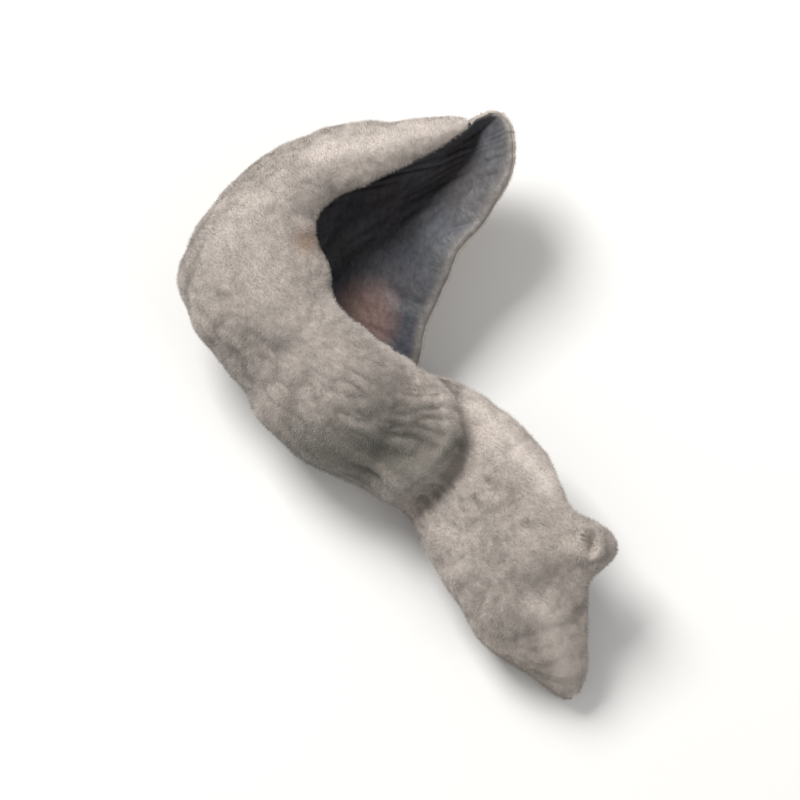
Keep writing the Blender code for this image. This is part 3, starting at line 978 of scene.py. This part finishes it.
# %% The tree that grows the nap
def nap_tree(hair_material):
    """A Geometry Nodes tree that covers a surface with short spikes."""
    tree = bpy.data.node_groups.new("nap", "GeometryNodeTree")
    tree.interface.new_socket("Surface", in_out="INPUT", socket_type="NodeSocketGeometry")
    tree.interface.new_socket("Patch", in_out="INPUT", socket_type="NodeSocketString")
    for name in ("Hairs per square metre", "Length", "Thickness", "Lean", "Tuft size"):
        tree.interface.new_socket(name, in_out="INPUT", socket_type="NodeSocketFloat")
    tree.interface.new_socket("Nap", in_out="OUTPUT", socket_type="NodeSocketGeometry")
    given = tree.nodes.new("NodeGroupInput")
    result = tree.nodes.new("NodeGroupOutput")

    def wire(source, target):
        tree.links.new(source, target)

    patch = add_node(tree, "GeometryNodeInputNamedAttribute", data_type="FLOAT")
    wire(given.outputs["Patch"], patch.inputs["Name"])
    density = add_node(tree, "ShaderNodeMath", operation="MULTIPLY")
    wire(given.outputs["Hairs per square metre"], density.inputs[0])
    wire(patch.outputs["Attribute"], density.inputs[1])
    scatter = add_node(tree, "GeometryNodeDistributePointsOnFaces", distribute_method="RANDOM")
    scatter.inputs["Seed"].default_value = 7
    wire(given.outputs["Surface"], scatter.inputs["Mesh"])
    wire(density.outputs[0], scatter.inputs["Density"])

    position = tree.nodes.new("GeometryNodeInputPosition")
    frequency = add_node(tree, "ShaderNodeMath", operation="DIVIDE")
    frequency.inputs[0].default_value = 1.0
    wire(given.outputs["Tuft size"], frequency.inputs[1])
    tufts = tree.nodes.new("ShaderNodeTexNoise")
    tufts.inputs["Detail"].default_value = 2.0
    wire(position.outputs[0], tufts.inputs["Vector"])
    wire(frequency.outputs[0], tufts.inputs["Scale"])
    centred = add_node(tree, "ShaderNodeVectorMath", operation="SUBTRACT")
    centred.inputs[1].default_value = (0.5, 0.5, 0.5)
    wire(tufts.outputs["Color"], centred.inputs[0])
    stray = add_node(tree, "FunctionNodeRandomValue", data_type="FLOAT_VECTOR")
    stray.inputs["Min"].default_value = (-0.35, -0.35, -0.35)
    stray.inputs["Max"].default_value = (0.35, 0.35, 0.35)
    stray.inputs["Seed"].default_value = 3
    together = add_node(tree, "ShaderNodeVectorMath", operation="MULTIPLY_ADD")
    together.inputs[1].default_value = (4.0, 4.0, 4.0)
    wire(centred.outputs[0], together.inputs[0])
    wire(stray.outputs[0], together.inputs[2])
    leaning = add_node(tree, "ShaderNodeVectorMath", operation="SCALE")
    wire(together.outputs[0], leaning.inputs[0])
    wire(given.outputs["Lean"], leaning.inputs["Scale"])
    direction = add_node(tree, "ShaderNodeVectorMath", operation="ADD")
    wire(scatter.outputs["Normal"], direction.inputs[0])
    wire(leaning.outputs[0], direction.inputs[1])
    turn = add_node(tree, "FunctionNodeAlignRotationToVector", axis="Z")
    wire(direction.outputs[0], turn.inputs["Vector"])

    spike = add_node(tree, "GeometryNodeMeshCone", fill_type="NGON")
    spike.inputs["Vertices"].default_value = 3
    spike.inputs["Radius Top"].default_value = 0.0
    wire(given.outputs["Thickness"], spike.inputs["Radius Bottom"])
    wire(given.outputs["Length"], spike.inputs["Depth"])
    size = add_node(tree, "FunctionNodeRandomValue", data_type="FLOAT")
    size.inputs[2].default_value = 0.55
    size.inputs[3].default_value = 1.25
    size.inputs["Seed"].default_value = 11
    grow = tree.nodes.new("GeometryNodeInstanceOnPoints")
    wire(scatter.outputs["Points"], grow.inputs["Points"])
    wire(spike.outputs["Mesh"], grow.inputs["Instance"])
    wire(turn.outputs[0], grow.inputs["Rotation"])
    wire(size.outputs[1], grow.inputs["Scale"])

    shade = add_node(tree, "FunctionNodeRandomValue", data_type="FLOAT")
    shade.inputs["Seed"].default_value = 5
    keep = add_node(tree, "GeometryNodeStoreNamedAttribute", data_type="FLOAT", domain="INSTANCE")
    keep.inputs["Name"].default_value = "shade"
    wire(grow.outputs["Instances"], keep.inputs["Geometry"])
    wire(shade.outputs[1], keep.inputs["Value"])
    real = tree.nodes.new("GeometryNodeRealizeInstances")
    wire(keep.outputs["Geometry"], real.inputs["Geometry"])
    finish = tree.nodes.new("GeometryNodeSetMaterial")
    finish.inputs["Material"].default_value = hair_material
    wire(real.outputs["Geometry"], finish.inputs["Geometry"])
    wire(finish.outputs["Geometry"], result.inputs["Nap"])
    return tree


hair_material = felt("nap", HAIR_LIGHTER)
tree_of_nap = nap_tree(hair_material)
print("the nap's tree has", len(tree_of_nap.nodes), "nodes")

# %% Grow the nap, patch by patch
HAIRS_PER_PATCH = 48500
HAIR_LENGTH = 0.18
HAIR_THICKNESS = 0.009
HAIR_LEAN = 0.8
TUFT_SIZE = 0.8


def grow_nap(patch):
    """One patch of nap as a plain mesh."""
    carrier = bpy.data.objects.new("carrier", mesh)
    bpy.context.scene.collection.objects.link(carrier)
    modifier = carrier.modifiers.new("nap", "NODES")
    modifier.node_group = tree_of_nap
    sizes = {
        "Patch": "nap_" + patch,
        "Hairs per square metre": HAIRS_PER_PATCH * len(NAP_PATCHES) / (nap_area.sum() * MM**2),
        "Length": HAIR_LENGTH * MM,
        "Thickness": HAIR_THICKNESS * MM,
        "Lean": HAIR_LEAN,
        "Tuft size": TUFT_SIZE * MM,
    }
    for item in tree_of_nap.interface.items_tree:
        if item.in_out == "INPUT" and item.name in sizes:
            modifier[item.identifier] = sizes[item.name]
    evaluated = carrier.evaluated_get(bpy.context.evaluated_depsgraph_get())
    hairs = bpy.data.meshes.new_from_object(evaluated)
    bpy.data.objects.remove(carrier)
    nap = bpy.data.objects.new("nap_" + patch, hairs)
    bpy.context.scene.collection.objects.link(nap)
    print("nap on the", patch + ":", len(hairs.vertices) // 4, "hairs")
    return nap


naps = [grow_nap(patch) for patch in NAP_PATCHES]

# %% [markdown]
# ## Floor, light and camera
#
# A plain pale floor, a soft key light from the upper left and a weak fill stand in for a studio. The camera
# looks almost straight down, from the tongue's side.

# %% Floor, light and camera
FLOOR_SIZE = 1.2
FLOOR_COLOUR = (0.80, 0.79, 0.77, 1.0)
CAMERA_HEIGHT = math.radians(82)
CAMERA_DISTANCE = 0.25
CAMERA_FIELD = 0.046
CAMERA_AIM = Vector((0, 0, 0.005))
SENSOR = 36.0
LIGHTS = (
    ("key", (-0.13, 0.19, 0.26), 0.14, 1.35),
    ("fill", (0.25, -0.10, 0.30), 0.20, 0.30),
)
WORLD_STRENGTH = 0.42


def lay_floor():
    """A plain pale floor under the ear."""
    bpy.ops.mesh.primitive_plane_add(size=FLOOR_SIZE)
    floor = bpy.context.object
    floor.name = "floor"
    material, tree, shader = new_material("floor paper")
    shader.inputs["Base Color"].default_value = FLOOR_COLOUR
    shader.inputs["Roughness"].default_value = 0.9
    floor.data.materials.append(material)


def soft_light(name, place, size, energy):
    """A square light that looks at the ear."""
    lamp = bpy.data.lights.new(name, "AREA")
    lamp.size = size
    lamp.energy = energy
    light = bpy.data.objects.new(name, lamp)
    light.location = place
    light.rotation_euler = (Vector((0, 0, 0)) - Vector(place)).to_track_quat("-Z", "Y").to_euler()
    bpy.context.scene.collection.objects.link(light)


def set_camera():
    """A camera that looks down on the ear from the tongue's side."""
    lens = bpy.data.cameras.new("camera")
    lens.sensor_width = SENSOR
    lens.lens = SENSOR * CAMERA_DISTANCE / CAMERA_FIELD
    lens.clip_start = 0.001
    camera = bpy.data.objects.new("camera", lens)
    direction = Vector((0, -math.cos(CAMERA_HEIGHT), math.sin(CAMERA_HEIGHT)))
    camera.location = CAMERA_AIM + direction * CAMERA_DISTANCE
    camera.rotation_euler = (-direction).to_track_quat("-Z", "Y").to_euler()
    bpy.context.scene.collection.objects.link(camera)
    bpy.context.scene.camera = camera


lay_floor()
for lamp in LIGHTS:
    soft_light(*lamp)
world = bpy.data.worlds.new("studio")
world.use_nodes = True
world.node_tree.nodes["Background"].inputs["Strength"].default_value = WORLD_STRENGTH
world.node_tree.nodes["Background"].inputs["Color"].default_value = (1, 1, 1, 1)
bpy.context.scene.world = world
bpy.context.scene.view_settings.view_transform = "Standard"
set_camera()
print("lit by a key and a fill")

# %% [markdown]
# ## Hand the ear over
#
# The ear and its nap ride on the part's only body and stand for the solid ear, which is hidden.

# %% Hand the ear over
for piece in (ear, *naps):
    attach(piece, "root")
    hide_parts(NODE)
